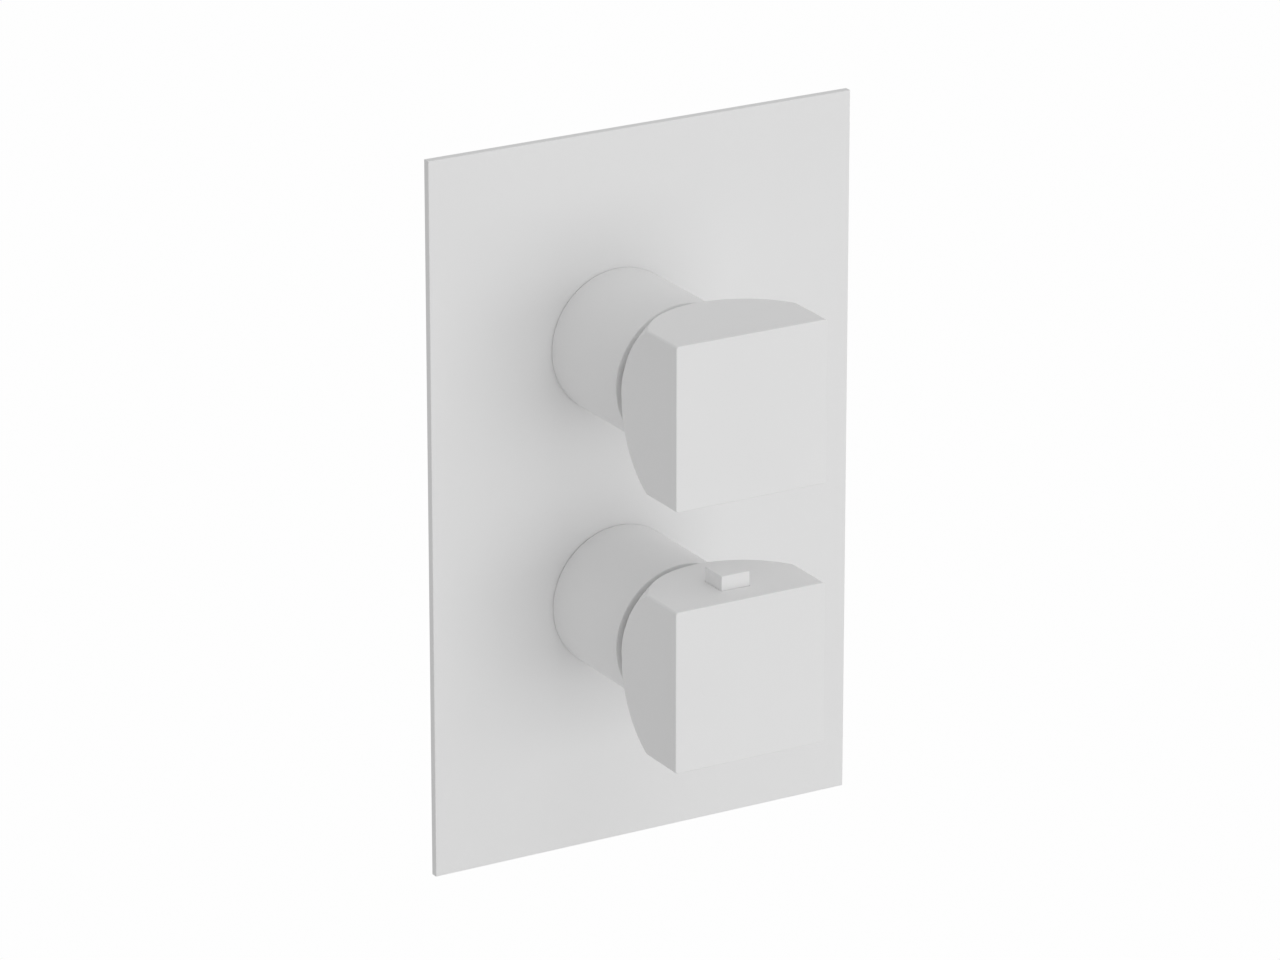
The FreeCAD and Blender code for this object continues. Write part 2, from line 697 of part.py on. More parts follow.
def make_button_clip():
    """Split clip on the stem that keeps the button in the handle."""
    inner = "(stem_radius - clip_groove + seat_gap)"
    body = make_ring("button_clip", inner, "clip_radius", clip_foot, "clip_thickness", "clip_slot")
    place_across(body, "temperature", button_axis)


def make_button_spring():
    """Coil spring between the floor of the well and the button's recess."""
    body = new_body("button_spring")
    spring_radius = "(recess_radius - spring_side - wire_radius)"
    low = f"({well_floor} + spring_room + wire_radius)"
    rise = f"({recess_top} - {well_floor} - 2 * spring_room - 2 * wire_radius)"
    sketch = new_sketch(body, "XZ_Plane")
    draw_circle(sketch, "wire_radius", spring_radius, low)
    helix = add_feature(body, "AdditiveHelix", sketch, ReferenceAxis=(sketch, ["V_Axis"]))
    helix.Mode = "height-turns-angle"
    helix.setExpression("Height", bind(rise))
    helix.setExpression("Turns", bind("spring_turns"))
    doc.recompute()
    place_across(body, "temperature", button_axis)


def make_axis(axis):
    """Make the pieces that both handles have."""
    make_collar(axis)
    make_collar_washer(axis)
    make_guide_bush(axis)
    make_slip_washer(axis)
    make_hub(axis)
    make_retaining_ring(axis)
    make_spindle_adaptor(axis)
    make_adaptor_screw(axis)
    make_grub_screw(axis)
    make_screw_plug(axis)
    return make_handle(axis)


def check_and_write():
    """Check every object and every shape, then write one STEP file for each sub-part."""
    doc.recompute()
    for item in doc.Objects:
        if "Invalid" in item.State or "Error" in item.State:
            raise RuntimeError(f"{item.Label} did not build: {item.State}")
    for body in subparts:
        if body.Shape.isNull() or not body.Shape.isValid() or len(body.Shape.Solids) != 1:
            raise RuntimeError(f"{body.Label} is not one valid solid")
    os.makedirs("parts", exist_ok=True)
    for body in subparts:
        body.Shape.exportStep(f"parts/{body.Label}.step")


fill_sheet()
make_cover_plate()
make_plate_gasket()
handles = {axis: make_axis(axis) for axis in AXIS_Z}
cut_button_well(handles["temperature"])
make_stop_button()
make_button_clip()
make_button_spring()
check_and_write()
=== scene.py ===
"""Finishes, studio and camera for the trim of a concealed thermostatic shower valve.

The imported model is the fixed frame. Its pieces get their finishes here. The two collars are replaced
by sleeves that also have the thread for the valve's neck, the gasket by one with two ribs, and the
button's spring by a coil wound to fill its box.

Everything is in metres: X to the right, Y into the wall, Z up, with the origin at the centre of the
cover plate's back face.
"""
import json
import math

import bmesh
import bpy
from mathutils import Matrix, Vector

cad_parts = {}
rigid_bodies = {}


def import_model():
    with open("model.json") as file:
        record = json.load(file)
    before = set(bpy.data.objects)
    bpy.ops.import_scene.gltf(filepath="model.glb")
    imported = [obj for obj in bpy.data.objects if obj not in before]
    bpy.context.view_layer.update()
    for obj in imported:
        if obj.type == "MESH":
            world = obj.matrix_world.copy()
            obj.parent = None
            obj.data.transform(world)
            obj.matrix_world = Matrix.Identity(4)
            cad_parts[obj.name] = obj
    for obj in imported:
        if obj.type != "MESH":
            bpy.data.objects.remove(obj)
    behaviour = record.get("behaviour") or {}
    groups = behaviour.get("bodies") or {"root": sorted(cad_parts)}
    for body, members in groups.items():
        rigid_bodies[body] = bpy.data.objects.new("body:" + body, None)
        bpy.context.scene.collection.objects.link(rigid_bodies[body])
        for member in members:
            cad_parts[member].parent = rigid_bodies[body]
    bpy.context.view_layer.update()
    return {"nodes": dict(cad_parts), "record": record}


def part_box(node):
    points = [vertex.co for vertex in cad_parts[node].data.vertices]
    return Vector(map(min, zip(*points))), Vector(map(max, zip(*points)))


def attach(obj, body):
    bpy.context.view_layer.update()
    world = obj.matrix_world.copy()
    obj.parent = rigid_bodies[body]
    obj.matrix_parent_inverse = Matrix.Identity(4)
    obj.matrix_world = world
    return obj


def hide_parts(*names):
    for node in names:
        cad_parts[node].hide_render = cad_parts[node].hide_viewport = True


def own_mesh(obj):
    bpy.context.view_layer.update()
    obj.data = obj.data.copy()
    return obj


bl_info = {
    "name": "Thermostatic valve trim",
    "version": (1, 0, 0),
    "blender": (4, 5, 0),
    "location": "3D View > Sidebar > Valve trim",
    "description": "Finishes a shower valve trim and sets it in a plain studio",
    "category": "Object",
}

for leftover in list(bpy.data.objects):
    bpy.data.objects.remove(leftover)
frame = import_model()
NODES = frame["nodes"]
RECORD = frame["record"]
SLOT_OF = {part["node"]: part["material_slot"] for part in RECORD["subparts"]}
COLOUR_OF = {item["slot"]: tuple(item["base_color"]) for item in RECORD["materials"]}
MOUNTS = {mount["name"]: mount for mount in RECORD["mounts"]}
JOINTS = {joint["name"]: joint for joint in RECORD["behaviour"]["joints"]}

AXES = ("flow", "temperature")
COAT_NAME = "white powder coat"
MM = 0.001

# Roughness of the bare metals between the tool marks
DULLNESS = {"brass": 0.22, "stainless_steel": 0.25, "spring_steel": 0.3}

# Sizes of a collar that no box and no mount of the frame gives
SEAT_GAP = 0.02 * MM
FOOT_WIDTH = 1.7 * MM
COLLAR_BORE = 17.0 * MM
RELIEF_WIDTH = 2.0 * MM
RELIEF_DEPTH = 0.9 * MM
LIP_WIDTH = 0.5 * MM
LIP_GAP = 0.2 * MM
LIP_ROUND = 0.15 * MM
SHOULDER_ROUND = 0.3 * MM

# Fineness of the meshes
EDGE_SEGMENTS = 4
TURN_STEPS = 128
WIRE_SIDES = 12
WIRE_STEPS = 36
TOUCH = 1e-6
SHARP_ANGLE = math.radians(30)

# Studio, with each lamp's azimuth and elevation in degrees
PAPER_WHITE = (0.99, 0.99, 0.99, 1)
FLOOR_GREY = (0.8, 0.8, 0.8, 1)
FLOOR_ROUGHNESS = 0.9
FLOOR_REACH = 6
LAMP_PLACES = {"front": (8, -2), "right": (90, 20), "top": (15, 50)}
LAMP_SIZE = 1.5
LAMP_DISTANCE = 2.5
SENSOR_WIDTH = 36


# Node helpers


class Signal:
    """A number on its way through a finish's nodes. Arithmetic on it adds Math nodes."""

    def __init__(self, finish, socket):
        self.finish = finish
        self.socket = socket

    def combine(self, operation, first, second):
        made = self.finish.node("ShaderNodeMath", {"operation": operation}, {0: first, 1: second})
        return Signal(self.finish, made.outputs[0])

    def __add__(self, other):
        return self.combine("ADD", self, other)

    def __sub__(self, other):
        return self.combine("SUBTRACT", self, other)

    def __mul__(self, other):
        return self.combine("MULTIPLY", self, other)

    def __pow__(self, other):
        return self.combine("POWER", self, other)

    def __radd__(self, other):
        return self.combine("ADD", other, self)

    def __rsub__(self, other):
        return self.combine("SUBTRACT", other, self)

    def __rmul__(self, other):
        return self.combine("MULTIPLY", other, self)


class Wiring:
    """A node tree to which one method adds every node."""

    def __init__(self, tree):
        self.tree = tree

    def node(self, kind, settings=None, values=None):
        """Add a node, set its settings, then give its sockets their values or links."""
        made = self.tree.nodes.new(kind)
        for key, setting in (settings or {}).items():
            setattr(made, key, setting)
        for key, given in (values or {}).items():
            self.feed(made.inputs[key], given)
        return made

    def feed(self, socket, given):
        """Link a socket to a signal or another socket, or set its value."""
        if isinstance(given, Signal):
            given = given.socket
        if isinstance(given, bpy.types.NodeSocket):
            self.tree.links.new(given, socket)
        else:
            socket.default_value = given

    def show_paper(self, output, shader, paper):
        """Show one shader to the camera and let another one light the object."""
        seen = self.node("ShaderNodeLightPath").outputs["Is Camera Ray"]
        shaders = {0: seen, 1: shader.outputs[0], 2: paper.outputs[0]}
        both = self.node("ShaderNodeMixShader", {}, shaders)
        self.feed(self.tree.nodes[output].inputs["Surface"], both.outputs[0])


class Finish(Wiring):
    """A material with one Principled shader whose patterns read Object coordinates."""

    def __init__(self, name, centre=(0, 0, 0)):
        self.material = bpy.data.materials.new(name)
        self.material.use_nodes = True
        super().__init__(self.material.node_tree)
        self.shader = self.tree.nodes["Principled BSDF"]
        values = {
            "Vector": self.node("ShaderNodeTexCoord").outputs["Object"],
            "Location": -Vector(centre),
        }
        self.place = self.node("ShaderNodeMapping", {}, values).outputs[0]

    def set(self, **values):
        """Set or link the shader's sockets, named in lower case with underscores."""
        for key, given in values.items():
            name = " ".join(word.upper() if word == "ior" else word.capitalize() for word in key.split("_"))
            self.feed(self.shader.inputs[name], given)

    def noise(self, grain, detail=2.0, where=None):
        """Noise whose lumps are about one grain wide, as a signal from 0 to 1."""
        values = {"Vector": where or self.place, "Scale": 1 / grain, "Detail": detail}
        return Signal(self, self.node("ShaderNodeTexNoise", {}, values).outputs[0])

    def cells(self, grain):
        """Distance from the middle of rounded cells about one grain wide."""
        values = {"Vector": self.place, "Scale": 1 / grain}
        return Signal(self, self.node("ShaderNodeTexVoronoi", {}, values).outputs["Distance"])

    def rings(self, pitch):
        """Fine lines round the finish's centre, as a lathe leaves them on ends and barrels."""
        parts = self.node("ShaderNodeSeparateXYZ", {}, {0: self.place})
        x, y, z = (Signal(self, socket) for socket in parts.outputs)
        radius = (x * x + z * z) ** 0.5
        where = self.node("ShaderNodeCombineXYZ", {}, {0: radius, 1: y}).outputs[0]
        return self.noise(pitch, 1.0, where)

    def tint(self, share, dark, light):
        """Mix two colours by a signal."""
        made = self.node("ShaderNodeMix", {"data_type": "RGBA"}, {0: share})
        first, second = (socket for socket in made.inputs if socket.type == "RGBA")
        self.feed(first, (*dark, 1))
        self.feed(second, (*light, 1))
        return next(socket for socket in made.outputs if socket.type == "RGBA")

    def relief(self, height, depth):
        """Raise the surface by a signal, with the depth in metres."""
        values = {"Strength": 1.0, "Distance": depth, "Height": height}
        self.set(normal=self.node("ShaderNodeBump", {}, values).outputs[0])


def shade(colour, factor):
    """A colour made lighter or darker."""
    return tuple(min(1.0, part * factor) for part in colour)


# Finishes


def coat(context):
    """The white coat, made once and shared by all coated pieces."""
    return bpy.data.materials.get(COAT_NAME) or powder_coat(context.scene.trim_paint)


def powder_coat(paint):
    """Matt white powder coat: fine orange peel, a little drift in tone and sheen."""
    finish = Finish(COAT_NAME)
    drift = finish.noise(paint.drift, 2.0)
    peel = finish.noise(paint.peel, 3.0)
    grit = finish.noise(paint.grit, 2.0)
    white = tuple(paint.white)
    finish.set(base_color=finish.tint(drift, shade(white, 0.985), shade(white, 1.015)))
    finish.set(roughness=paint.roughness - 0.05 + 0.06 * grit + 0.04 * drift)
    finish.set(specular_ior_level=0.4)
    finish.relief(peel + 0.4 * grit, paint.peel_depth)
    return finish.material


def moulded_plastic(name, colour, roughness, grain):
    """Moulded plastic with a fine spark-eroded grain."""
    finish = Finish(name)
    mottle = finish.noise(12 * grain, 2.0)
    texture = finish.noise(grain, 3.0)
    finish.set(base_color=finish.tint(mottle, shade(colour, 0.94), shade(colour, 1.05)))
    finish.set(roughness=roughness + 0.12 * (texture - 0.5))
    finish.relief(texture, 0.02 * MM)
    return finish.material


def rubber(name, colour, grain):
    """Dull rubber with a pitted skin and a faint bloom."""
    finish = Finish(name)
    bloom = finish.noise(30 * grain, 3.0)
    pits = finish.cells(grain)
    finish.set(base_color=finish.tint(bloom, shade(colour, 0.8), shade(colour, 1.25)))
    finish.set(roughness=0.66 + 0.16 * bloom)
    finish.set(specular_ior_level=0.3)
    finish.relief(pits, 0.04 * MM)
    return finish.material


def turned_plastic(name, colour, centre):
    """Machined plastic with the lathe's feed marks round its axis."""
    finish = Finish(name, centre)
    marks = finish.rings(0.35 * MM)
    cloud = finish.noise(6 * MM)
    finish.set(base_color=finish.tint(cloud, shade(colour, 0.95), shade(colour, 1.04)))
    finish.set(roughness=0.4 + 0.14 * marks)
    finish.relief(marks, 0.015 * MM)
    return finish.material


def turned_metal(name, slot, centre):
    """Turned metal: rings from the tool, and a thin tarnish that dulls it in patches."""
    colour = COLOUR_OF[slot]
    finish = Finish(name, centre)
    marks = finish.rings(0.25 * MM)
    tarnish = finish.noise(5 * MM, 3.0)
    finish.set(base_color=finish.tint(tarnish, shade(colour, 0.82), shade(colour, 1.08)))
    finish.set(metallic=1.0)
    finish.set(roughness=DULLNESS[slot] + 0.16 * marks + 0.1 * tarnish)
    finish.relief(marks, 0.012 * MM)
    return finish.material


def axis_centre(axis):
    """Where a handle's axis meets the wall, from its collar's box."""
    low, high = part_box(f"{axis}_collar")
    middle = (low + high) / 2
    return Vector((middle.x, 0, middle.z))


def dress(material, *names):
    """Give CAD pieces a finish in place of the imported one."""
    for name in names:
        NODES[name].data.materials.clear()
        NODES[name].data.materials.append(material)


def dress_slot(material, slot, axis=""):
    """Dress every piece of one material slot, or only those round one axis."""
    dress(material, *(name for name, own in SLOT_OF.items() if own == slot and name.startswith(axis)))


# Settings


class TrimPaint(bpy.types.PropertyGroup):
    """The white coat on everything that shows from the front"""

    white: bpy.props.FloatVectorProperty(
        name="White", description="Colour of the powder coat", subtype="COLOR", size=3, min=0, max=1,
        default=COLOUR_OF["white_paint"])
    roughness: bpy.props.FloatProperty(
        name="Roughness", description="How matt the coat is", subtype="FACTOR", min=0, max=1,
        default=0.55)
    peel: bpy.props.FloatProperty(
        name="Orange peel", description="Width of a ripple in the coat", unit="LENGTH", precision=5,
        default=1.1 * MM)
    peel_depth: bpy.props.FloatProperty(
        name="Peel depth", description="Height of the ripples", unit="LENGTH", precision=6,
        default=0.006 * MM)
    grit: bpy.props.FloatProperty(
        name="Grit", description="Width of a grain of the coat", unit="LENGTH", precision=5,
        default=0.28 * MM)
    drift: bpy.props.FloatProperty(
        name="Drift", description="Width of the slow changes in tone", unit="LENGTH", precision=4,
        default=55 * MM)


class TrimThread(bpy.types.PropertyGroup):
    """The thread inside the collars"""

    pitch: bpy.props.FloatProperty(
        name="Pitch", description="Rise of the thread in one turn", unit="LENGTH", precision=5,
        default=1.5 * MM)
    crest: bpy.props.FloatProperty(
        name="Crest", description="Flat at the top of the thread", unit="LENGTH", precision=6,
        default=0.375 * MM)
    depth: bpy.props.FloatProperty(
        name="Depth", description="Height of the thread", unit="LENGTH", precision=6,
        default=0.8 * MM)
    flank: bpy.props.FloatProperty(
        name="Flank", description="Slope of the thread's flanks", subtype="ANGLE",
        default=math.radians(30))


class TrimGasket(bpy.types.PropertyGroup):
    """The rubber strip in the plate's back"""

    strip: bpy.props.FloatProperty(
        name="Strip", description="Width of the strip", unit="LENGTH", precision=5, default=7.8 * MM)
    rib: bpy.props.FloatProperty(
        name="Rib", description="Width of each of the two ribs", unit="LENGTH", precision=5,
        default=2.3 * MM)
    groove: bpy.props.FloatProperty(
        name="Groove", description="Depth of the groove between the ribs", unit="LENGTH", precision=5,
        default=0.6 * MM)
    slope: bpy.props.FloatProperty(
        name="Slope", description="Width of each side of the groove", unit="LENGTH", precision=5,
        default=0.3 * MM)
    edge: bpy.props.FloatProperty(
        name="Edge", description="Rounding of the ribs", unit="LENGTH", precision=5, default=0.25 * MM)


class TrimSpring(bpy.types.PropertyGroup):
    """The return spring under the push button"""

    wire: bpy.props.FloatProperty(
        name="Wire", description="Radius of the wire", unit="LENGTH", precision=5, default=0.3 * MM)
    turns: bpy.props.IntProperty(name="Turns", description="Turns of the coil", min=1, default=6)


class TrimStudio(bpy.types.PropertyGroup):
    """Floor, lights and camera"""

    floor_drop: bpy.props.FloatProperty(
        name="Floor", description="Depth of the floor below the plate's centre", unit="LENGTH",
        default=0.6)
    ambient: bpy.props.FloatProperty(
        name="Ambient", description="Light from all round", default=0.55)
    front: bpy.props.FloatProperty(
        name="Front light", description="Power of the large light in front", unit="POWER", default=14.6)
    right: bpy.props.FloatProperty(
        name="Right light", description="Power of the large light on the right", unit="POWER", default=4.2)
    top: bpy.props.FloatProperty(
        name="Top light", description="Power of the large light above", unit="POWER", default=4.6)
    target: bpy.props.FloatVectorProperty(
        name="Target", description="Point that the camera looks at", subtype="XYZ", unit="LENGTH",
        size=3, default=(0.439 * MM, 0, 0.55 * MM))
    azimuth: bpy.props.FloatProperty(
        name="Azimuth", description="Camera's turn to the right of straight ahead", unit="ROTATION",
        default=math.radians(-29.916))
    elevation: bpy.props.FloatProperty(
        name="Elevation", description="Camera's height above level", unit="ROTATION",
        default=math.radians(20.096))
    distance: bpy.props.FloatProperty(
        name="Distance", description="Target to camera", unit="LENGTH", default=1.973847)
    lens: bpy.props.FloatProperty(
        name="Lens", description="Focal length of the camera", unit="CAMERA", default=189.236)


# Mesh helpers


def sleeve_outline(axis):
    """Half section of a collar, from the end of its spigot round to the run-out of its thread.

    The points are pairs of a distance from the collar's axis and a distance from the wall.
    """
    low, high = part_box(f"{axis}_collar")
    outside = (high.x - low.x) / 2
    front = -low.y
    back = -high.y
    foot = -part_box(f"{axis}_collar_washer")[0].y
    lip = LIP_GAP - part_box("cover_plate")[0].y
    bush_low, bush_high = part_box(f"{axis}_guide_bush")
    seat = (bush_high.x - bush_low.x) / 2 + SEAT_GAP
    shoulder = -bush_high.y
    neck = MOUNTS[f"{axis}_neck"]["dims"]
    relief = neck["r_mm"] * MM + RELIEF_DEPTH
    thread_end = back + neck["length_mm"] * MM
    return [
        (outside - FOOT_WIDTH, back), (outside - FOOT_WIDTH, foot), (outside - LIP_WIDTH, foot),
        (outside - LIP_WIDTH, lip), (outside, lip), (outside, front), (seat, front), (seat, shoulder),
        (COLLAR_BORE, shoulder), (COLLAR_BORE, thread_end + RELIEF_WIDTH),
        (relief, thread_end + RELIEF_WIDTH), (relief, thread_end),
    ]


def draw_chain(bm, points):
    """Draw a half section in the plane of X and Y."""
    verts = [bm.verts.new((radius, -distance, 0)) for radius, distance in points]
    return verts + [bm.edges.new(pair) for pair in zip(verts, verts[1:])]


def wind_thread(bm, thread, crest_radius, start, end):
    """Wind one pitch of a right-hand inside thread round the Y axis and trim it at both ends."""
    root_radius = crest_radius + thread.depth
    slope = thread.depth * math.tan(thread.flank)
    root = thread.pitch - thread.crest - 2 * slope
    lead = start - 1.5 * thread.pitch
    turns = math.ceil((end - start) / thread.pitch) + 2
    chain = draw_chain(bm, [
        (root_radius, lead), (root_radius, lead + root), (crest_radius, lead + root + slope),
        (crest_radius, lead + root + slope + thread.crest), (root_radius, lead + thread.pitch),
    ])
    bmesh.ops.spin(
        bm, geom=chain, cent=(0, 0, 0), axis=(0, -1, 0), dvec=(0, -thread.pitch / TURN_STEPS, 0),
        angle=2 * math.pi * turns, steps=TURN_STEPS * turns, use_merge=False, use_duplicate=False)
    bmesh.ops.remove_doubles(bm, verts=bm.verts, dist=TOUCH)
    for station, side in ((start, 1), (end, -1)):
        bmesh.ops.bisect_plane(
            bm, geom=[*bm.verts, *bm.edges, *bm.faces], dist=TOUCH, plane_co=(0, -station, 0),
            plane_no=(0, side, 0), clear_outer=True)


def lies_at(edge, station):
    """Say whether an edge lies at one distance from the wall."""
    return all(abs(vert.co.y + station) < TOUCH for vert in edge.verts)


def spin_sleeve(bm, outline):
    """Turn the outline round the Y axis and close it with the thread that is already there."""
    bmesh.ops.spin(
        bm, geom=draw_chain(bm, outline), cent=(0, 0, 0), axis=(0, 1, 0), dvec=(0, 0, 0),
        angle=2 * math.pi, steps=TURN_STEPS, use_merge=True, use_duplicate=False)
    for _, station in (outline[0], outline[-1]):
        ends = [edge for edge in bm.edges if edge.is_boundary and lies_at(edge, station)]
        bmesh.ops.bridge_loops(bm, edges=ends)
    bmesh.ops.recalc_face_normals(bm, faces=bm.faces)


def bevel(bm, edges, width):
    """Round some edges."""
    bmesh.ops.bevel(
        bm, geom=edges, offset=width, offset_type="OFFSET", affect="EDGES", segments=EDGE_SEGMENTS,
        profile=0.5, material=-1)


def round_rim(bm, radius, station, width):
    """Round the circle of one radius at one distance from the wall."""
    rim = [
        edge for edge in bm.edges
        if lies_at(edge, station) and all(abs(vert.co.xz.length - radius) < TOUCH for vert in edge.verts)
    ]
    bevel(bm, rim, width)


def shape_gasket(bm, gasket):
    """Make a strip round the plate's edge with two ribs towards the wall."""
    low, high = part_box("plate_gasket")
    half = (high - low) / 2
    bmesh.ops.create_grid(bm, x_segments=1, y_segments=1, size=1)
    bmesh.ops.scale(bm, vec=(half.x, half.z, 1), verts=bm.verts)
    bmesh.ops.rotate(bm, cent=(0, 0, 0), matrix=Matrix.Rotation(-math.pi / 2, 3, "X"), verts=bm.verts)
    bmesh.ops.translate(bm, vec=(0, low.y, 0), verts=bm.verts)
    middle = list(bm.faces)
    strip = bmesh.ops.inset_region(
        bm, faces=middle, thickness=gasket.strip, use_even_offset=True, use_boundary=True)["faces"]
    bmesh.ops.delete(bm, geom=middle, context="FACES")
    raised = bmesh.ops.extrude_face_region(bm, geom=strip)["geom"]
    lifted = [item for item in raised if isinstance(item, bmesh.types.BMVert)]
    bmesh.ops.translate(bm, vec=(0, high.y - low.y, 0), verts=lifted)
    bmesh.ops.recalc_face_normals(bm, faces=bm.faces)
    tops = [item for item in raised if isinstance(item, bmesh.types.BMFace)]
    bmesh.ops.inset_region(bm, faces=tops, thickness=gasket.rib, use_even_offset=True)
    bmesh.ops.inset_region(
        bm, faces=tops, thickness=gasket.slope, depth=-gasket.groove, use_even_offset=True)
    ridges = [
        edge for edge in bm.edges
        if lies_at(edge, -high.y) and edge.calc_face_angle() > SHARP_ANGLE
    ]
    bevel(bm, ridges, gasket.edge)


def wind_spring(bm, spring, low, high):
    """Wind a wire round an upright axis so that the coil fills a box."""
    middle = (low + high) / 2
    reach = (high.x - low.x) / 2 - spring.wire
    rise = high.z - low.z - 2 * spring.wire
    steps = WIRE_STEPS * spring.turns
    bmesh.ops.create_circle(bm, cap_ends=True, segments=WIRE_SIDES, radius=spring.wire)
    bmesh.ops.rotate(bm, cent=(0, 0, 0), matrix=Matrix.Rotation(math.pi / 2, 3, "X"), verts=bm.verts)
    bmesh.ops.translate(bm, vec=(middle.x + reach, middle.y, low.z + spring.wire), verts=bm.verts)
    bmesh.ops.spin(
        bm, geom=[*bm.verts, *bm.edges, *bm.faces], cent=middle, axis=(0, 0, 1), dvec=(0, 0, rise / steps),
        angle=2 * math.pi * spring.turns, steps=steps, use_merge=False, use_duplicate=False)
    bmesh.ops.recalc_face_normals(bm, faces=bm.faces)


def finish_mesh(bm, name, material):
    """Turn a bmesh into an object at the origin, smooth but for its sharp edges."""
    mesh = bpy.data.meshes.new(name)
    bm.to_mesh(mesh)
    bm.free()
    mesh.shade_smooth()
    mesh.set_sharp_from_angle(angle=SHARP_ANGLE)
    mesh.materials.append(material)
    piece = bpy.data.objects.new(name, mesh)
    bpy.context.scene.collection.objects.link(piece)
    return piece


def direction(azimuth, elevation):
    """Unit vector from the object, with azimuth 0 straight out of the wall."""
    level = math.cos(elevation)
    return Vector((math.sin(azimuth) * level, -math.cos(azimuth) * level, math.sin(elevation)))


def set_up(name, data, target, back, distance):
    """Stand a lamp or a camera back from a point, and turn it to that point."""
    stand = bpy.data.objects.new(name, data)
    stand.location = Vector(target) + back * distance
    stand.rotation_euler = back.to_track_quat("Z", "Y").to_euler()
    bpy.context.scene.collection.objects.link(stand)
    return stand


# Operators


class TRIM_OT_paint_metalwork(bpy.types.Operator):
    """Coat the plate, the handles and the push button"""

    bl_idname = "trim.paint_metalwork"
    bl_label = "Paint metalwork"

    def execute(self, context):
        dress_slot(coat(context), "white_paint")
        return {"FINISHED"}


class TRIM_OT_fit_collars(bpy.types.Operator):
    """Replace the two collars by sleeves with a thread in them"""

    bl_idname = "trim.fit_collars"
    bl_label = "Fit collars"

    def execute(self, context):
        for axis in AXES:
            outline = sleeve_outline(axis)
            crest_radius = MOUNTS[f"{axis}_neck"]["dims"]["r_mm"] * MM
            bm = bmesh.new()
            wind_thread(bm, context.scene.trim_thread, crest_radius, outline[0][1], outline[-1][1])
            spin_sleeve(bm, outline)
            outside = max(radius for radius, station in outline)
            lip, shoulder = (point for point in outline if point[0] == outside)
            round_rim(bm, *lip, LIP_ROUND)
            round_rim(bm, *shoulder, SHOULDER_ROUND)
            bmesh.ops.translate(bm, vec=axis_centre(axis), verts=bm.verts)
            sleeve = finish_mesh(bm, f"{axis}_collar_sleeve", coat(context))
            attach(sleeve, "trim_base")
            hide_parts(f"{axis}_collar")
        return {"FINISHED"}


class TRIM_OT_fit_gasket(bpy.types.Operator):
    """Replace the gasket by a strip with two ribs"""

    bl_idname = "trim.fit_gasket"
    bl_label = "Fit gasket"

    def execute(self, context):
        bm = bmesh.new()
        shape_gasket(bm, context.scene.trim_gasket)
        finish = rubber("black gasket", COLOUR_OF["gasket_rubber"], 0.5 * MM)
        strip = finish_mesh(bm, "ribbed_gasket", finish)
        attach(strip, "trim_base")
        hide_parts("plate_gasket")
        return {"FINISHED"}


class TRIM_OT_fit_spring(bpy.types.Operator):
    """Replace the button's spring by a coil wound to fill its box"""

    bl_idname = "trim.fit_spring"
    bl_label = "Fit spring"

    def execute(self, context):
        low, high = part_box("button_spring")
        bm = bmesh.new()
        wind_spring(bm, context.scene.trim_spring, low, high)
        wire = turned_metal("button spring wire", "spring_steel", (low + high) / 2)
        coil = finish_mesh(bm, "coil_spring", wire)
        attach(coil, "temperature_knob")
        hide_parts("button_spring")
        pressed = 1 - JOINTS["button_press"]["range_m"][1] / (high.z - low.z)
        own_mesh(coil)
        return {"FINISHED"}


class TRIM_OT_finish_plastics(bpy.types.Operator):
    """Finish the hubs, the bearings and the plugs"""

    bl_idname = "trim.finish_plastics"
    bl_label = "Finish plastics"

    def execute(self, context):
        plug = moulded_plastic("white plug", COLOUR_OF["white_plastic"], 0.5, 0.3 * MM)
        dress_slot(plug, "white_plastic")
        nylon = moulded_plastic("black nylon", COLOUR_OF["hub_plastic"], 0.5, 0.35 * MM)
        dress_slot(nylon, "hub_plastic")
        for axis in AXES:
            bearing = turned_plastic(f"{axis} acetal", COLOUR_OF["bearing_plastic"], axis_centre(axis))
            dress_slot(bearing, "bearing_plastic", axis)
        return {"FINISHED"}


class TRIM_OT_finish_seals(bpy.types.Operator):
    """Finish the washers under the collars"""

    bl_idname = "trim.finish_seals"
    bl_label = "Finish seals"

    def execute(self, context):
        dress_slot(rubber("grey silicone", COLOUR_OF["seal_rubber"], 0.3 * MM), "seal_rubber")
        return {"FINISHED"}


class TRIM_OT_finish_metals(bpy.types.Operator):
    """Finish the spindle adaptors, the screws, the rings and the button's clip"""

    bl_idname = "trim.finish_metals"
    bl_label = "Finish metals"

    def execute(self, context):
        for axis in AXES:
            for slot in DULLNESS:
                dress_slot(turned_metal(f"{axis} {slot}", slot, axis_centre(axis)), slot, axis)
        dress(turned_metal("button clip", "spring_steel", axis_centre("temperature")), "button_clip")
        return {"FINISHED"}


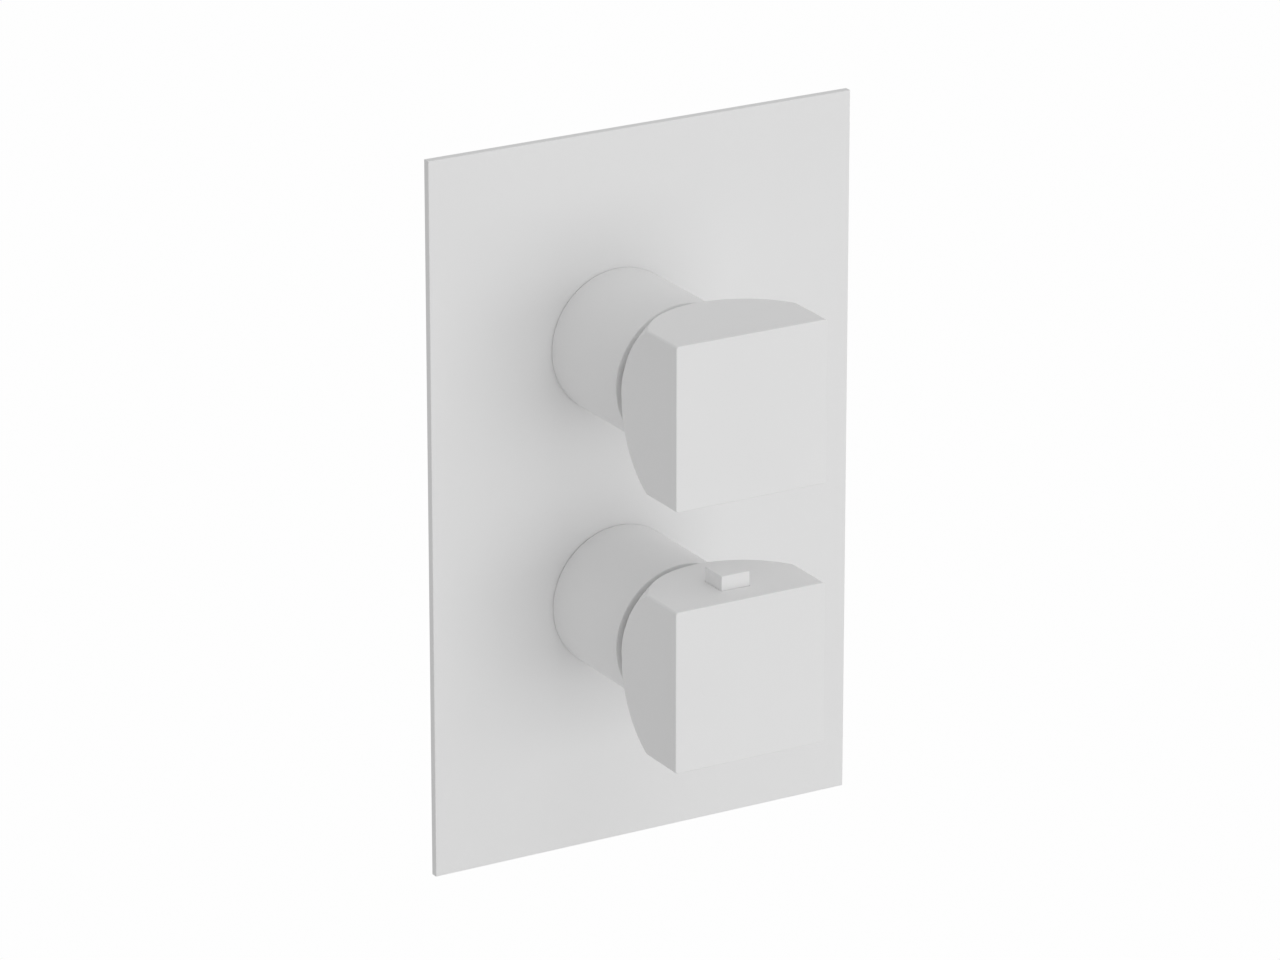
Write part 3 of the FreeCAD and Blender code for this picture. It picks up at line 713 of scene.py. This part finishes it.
class TRIM_OT_set_stage(bpy.types.Operator):
    """Set the floor, the lights and the camera"""

    bl_idname = "trim.set_stage"
    bl_label = "Set stage"

    def execute(self, context):
        studio = context.scene.trim_studio
        self.lay_floor(studio)
        self.light(context.scene, studio)
        self.place_camera(context.scene, studio)
        context.scene.view_settings.view_transform = "Standard"
        return {"FINISHED"}

    def lay_floor(self, studio):
        """A large pale floor that the camera sees as white paper."""
        bm = bmesh.new()
        bmesh.ops.create_grid(bm, x_segments=1, y_segments=1, size=FLOOR_REACH)
        bmesh.ops.translate(bm, vec=(0, 0, -studio.floor_drop), verts=bm.verts)
        finish = Finish("pale floor")
        finish.set(base_color=FLOOR_GREY, roughness=FLOOR_ROUGHNESS)
        paper = finish.node("ShaderNodeEmission", {}, {"Color": PAPER_WHITE})
        finish.show_paper("Material Output", finish.shader, paper)
        finish_mesh(bm, "floor", finish.material)

    def light(self, scene, studio):
        """Even light from all round and three large soft lights."""
        world = bpy.data.worlds.new("studio")
        world.use_nodes = True
        wiring = Wiring(world.node_tree)
        ambient = wiring.tree.nodes["Background"]
        wiring.feed(ambient.inputs["Color"], (1, 1, 1, 1))
        wiring.feed(ambient.inputs["Strength"], studio.ambient)
        paper = wiring.node("ShaderNodeBackground", {}, {"Color": PAPER_WHITE})
        wiring.show_paper("World Output", ambient, paper)
        scene.world = world
        for name, (azimuth, elevation) in LAMP_PLACES.items():
            lamp = bpy.data.lights.new(name, "AREA")
            lamp.energy = getattr(studio, name)
            lamp.size = LAMP_SIZE
            back = direction(math.radians(azimuth), math.radians(elevation))
            set_up(name, lamp, (0, 0, 0), back, LAMP_DISTANCE)

    def place_camera(self, scene, studio):
        """A long lens above and to the left, as in the photograph."""
        lens = bpy.data.cameras.new("camera")
        lens.lens = studio.lens
        lens.sensor_width = SENSOR_WIDTH
        back = direction(studio.azimuth, studio.elevation)
        scene.camera = set_up("camera", lens, studio.target, back, studio.distance)


class VIEW3D_PT_valve_trim(bpy.types.Panel):
    """Settings and steps of the valve trim"""

    bl_label = "Valve trim"
    bl_space_type = "VIEW_3D"
    bl_region_type = "UI"
    bl_category = "Valve trim"

    def draw(self, context):
        for settings in (getattr(context.scene, name) for name in SETTINGS):
            box = self.layout.box()
            for name in settings.bl_rna.properties.keys():
                if name not in ("rna_type", "name"):
                    box.prop(settings, name)
        for step in STEPS:
            self.layout.operator(step.bl_idname)


SETTINGS = {
    "trim_paint": TrimPaint, "trim_thread": TrimThread, "trim_gasket": TrimGasket,
    "trim_spring": TrimSpring, "trim_studio": TrimStudio,
}
STEPS = (
    TRIM_OT_paint_metalwork, TRIM_OT_fit_collars, TRIM_OT_fit_gasket, TRIM_OT_fit_spring,
    TRIM_OT_finish_plastics, TRIM_OT_finish_seals, TRIM_OT_finish_metals, TRIM_OT_set_stage,
)


def register():
    for name, group in SETTINGS.items():
        bpy.utils.register_class(group)
        setattr(bpy.types.Scene, name, bpy.props.PointerProperty(type=group))
    for step in (*STEPS, VIEW3D_PT_valve_trim):
        bpy.utils.register_class(step)


def unregister():
    for step in reversed((*STEPS, VIEW3D_PT_valve_trim)):
        bpy.utils.unregister_class(step)
    for name, group in SETTINGS.items():
        delattr(bpy.types.Scene, name)
        bpy.utils.unregister_class(group)


def main():
    """Register the add-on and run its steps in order."""
    register()
    bpy.ops.trim.paint_metalwork()
    bpy.ops.trim.fit_collars()
    bpy.ops.trim.fit_gasket()
    bpy.ops.trim.fit_spring()
    bpy.ops.trim.finish_plastics()
    bpy.ops.trim.finish_seals()
    bpy.ops.trim.finish_metals()
    bpy.ops.trim.set_stage()


if __name__ == "__main__":
    main()
